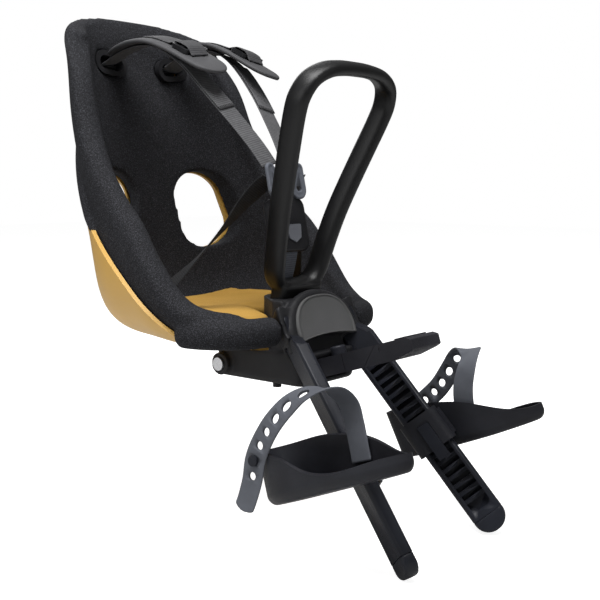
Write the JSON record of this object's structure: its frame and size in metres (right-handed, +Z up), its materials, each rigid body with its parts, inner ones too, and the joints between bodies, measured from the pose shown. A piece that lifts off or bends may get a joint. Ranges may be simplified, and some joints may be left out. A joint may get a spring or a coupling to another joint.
{
  "type": "kids handlebar bike seat",
  "caption": "Front-mounted child seat for a bicycle with a foam bucket in a hard shell, harness, grab loop, stem clamp and sliding ladder-leg footrests.",
  "frame": {"origin": "centre of the stem clamp, on the mid-plane", "axes": "+X to the child's left, -Y the way the child faces, +Z up"},
  "size_m": [0.2986, 0.4872, 0.5428],
  "materials": {
    "shell": "satin moulded",
    "foam": "fine beaded foam",
    "pad": "soft woven",
    "trim": "fine grain",
    "button": "smooth",
    "steel": "plated",
    "webbing": "woven",
    "padding": "soft",
    "loop": "soft touch",
    "carrier": "fine grain",
    "cover": "fine grain",
    "leg": "satin moulded",
    "rubber": "matt"
  },
  "bodies": {
    "seat": {"outer_shell": "shell", "foam_liner": "foam", "seat_pad": "pad", "slot_ring_left": "trim", "slot_ring_right": "trim", "strap_bar_left": "steel", "strap_bar_right": "steel", "shoulder_strap_left": "webbing", "shoulder_strap_right": "webbing", "shoulder_pad_left": "padding", "shoulder_pad_right": "padding", "strap_adjuster_left": "trim", "strap_adjuster_right": "trim", "lap_strap_left": "webbing", "lap_strap_right": "webbing", "tongue_left": "trim", "tongue_right": "trim", "crotch_strap": "webbing", "buckle_body": "trim", "grab_loop": "loop", "carrier": "carrier", "top_cover": "cover", "rear_axle": "steel", "carrier_nubs": "carrier", "shell_bolts": "steel", "shell_washers": "steel", "clamp_block": "carrier", "clamp_front": "carrier", "clamp_shim": "rubber", "clamp_bolts": "steel", "clamp_knob": "trim", "lever_pin": "steel", "leg_left": "leg", "leg_right": "leg", "leg_end_cap_left": "leg", "leg_end_cap_right": "leg"},
    "lever": {"clamp_lever": "carrier"},
    "button": {"buckle_button": "button"},
    "left_footrest": {"footrest_left": "leg", "foot_strap_left": "rubber", "strap_stud_left": "trim"},
    "right_footrest": {"footrest_right": "leg", "foot_strap_right": "rubber", "strap_stud_right": "trim"},
    "left_latch": {"height_latch_left": "trim"},
    "right_latch": {"height_latch_right": "trim"}
  },
  "joints": [
    {"name": "lever_flip", "type": "hinge", "parent": "seat", "child": "lever", "pos_m": [0, -0.04451, 0.01844], "axis": [-1, 0, 0], "range_deg": [0, 55]},
    {"name": "button_press", "type": "slide", "parent": "seat", "child": "button", "axis": [0, 0.9781, -0.2079], "range_m": [0, 0.003], "stiffness_N_per_m": 600},
    {"name": "left_footrest_slide", "type": "slide", "parent": "seat", "child": "left_footrest", "axis": [0.1245, -0.6378, -0.7601], "range_m": [-0.0188, 0.0376]},
    {"name": "right_footrest_slide", "type": "slide", "parent": "seat", "child": "right_footrest", "axis": [-0.1245, -0.6378, -0.7601], "range_m": [-0.0188, 0.0376]},
    {"name": "left_latch_pull", "type": "slide", "parent": "left_footrest", "child": "left_latch", "axis": [-0.8593, -0.4523, 0.2388], "range_m": [0, 0.004], "stiffness_N_per_m": 400},
    {"name": "right_latch_pull", "type": "slide", "parent": "right_footrest", "child": "right_latch", "axis": [0.8593, -0.4523, 0.2388], "range_m": [0, 0.004], "stiffness_N_per_m": 400}
  ]
}
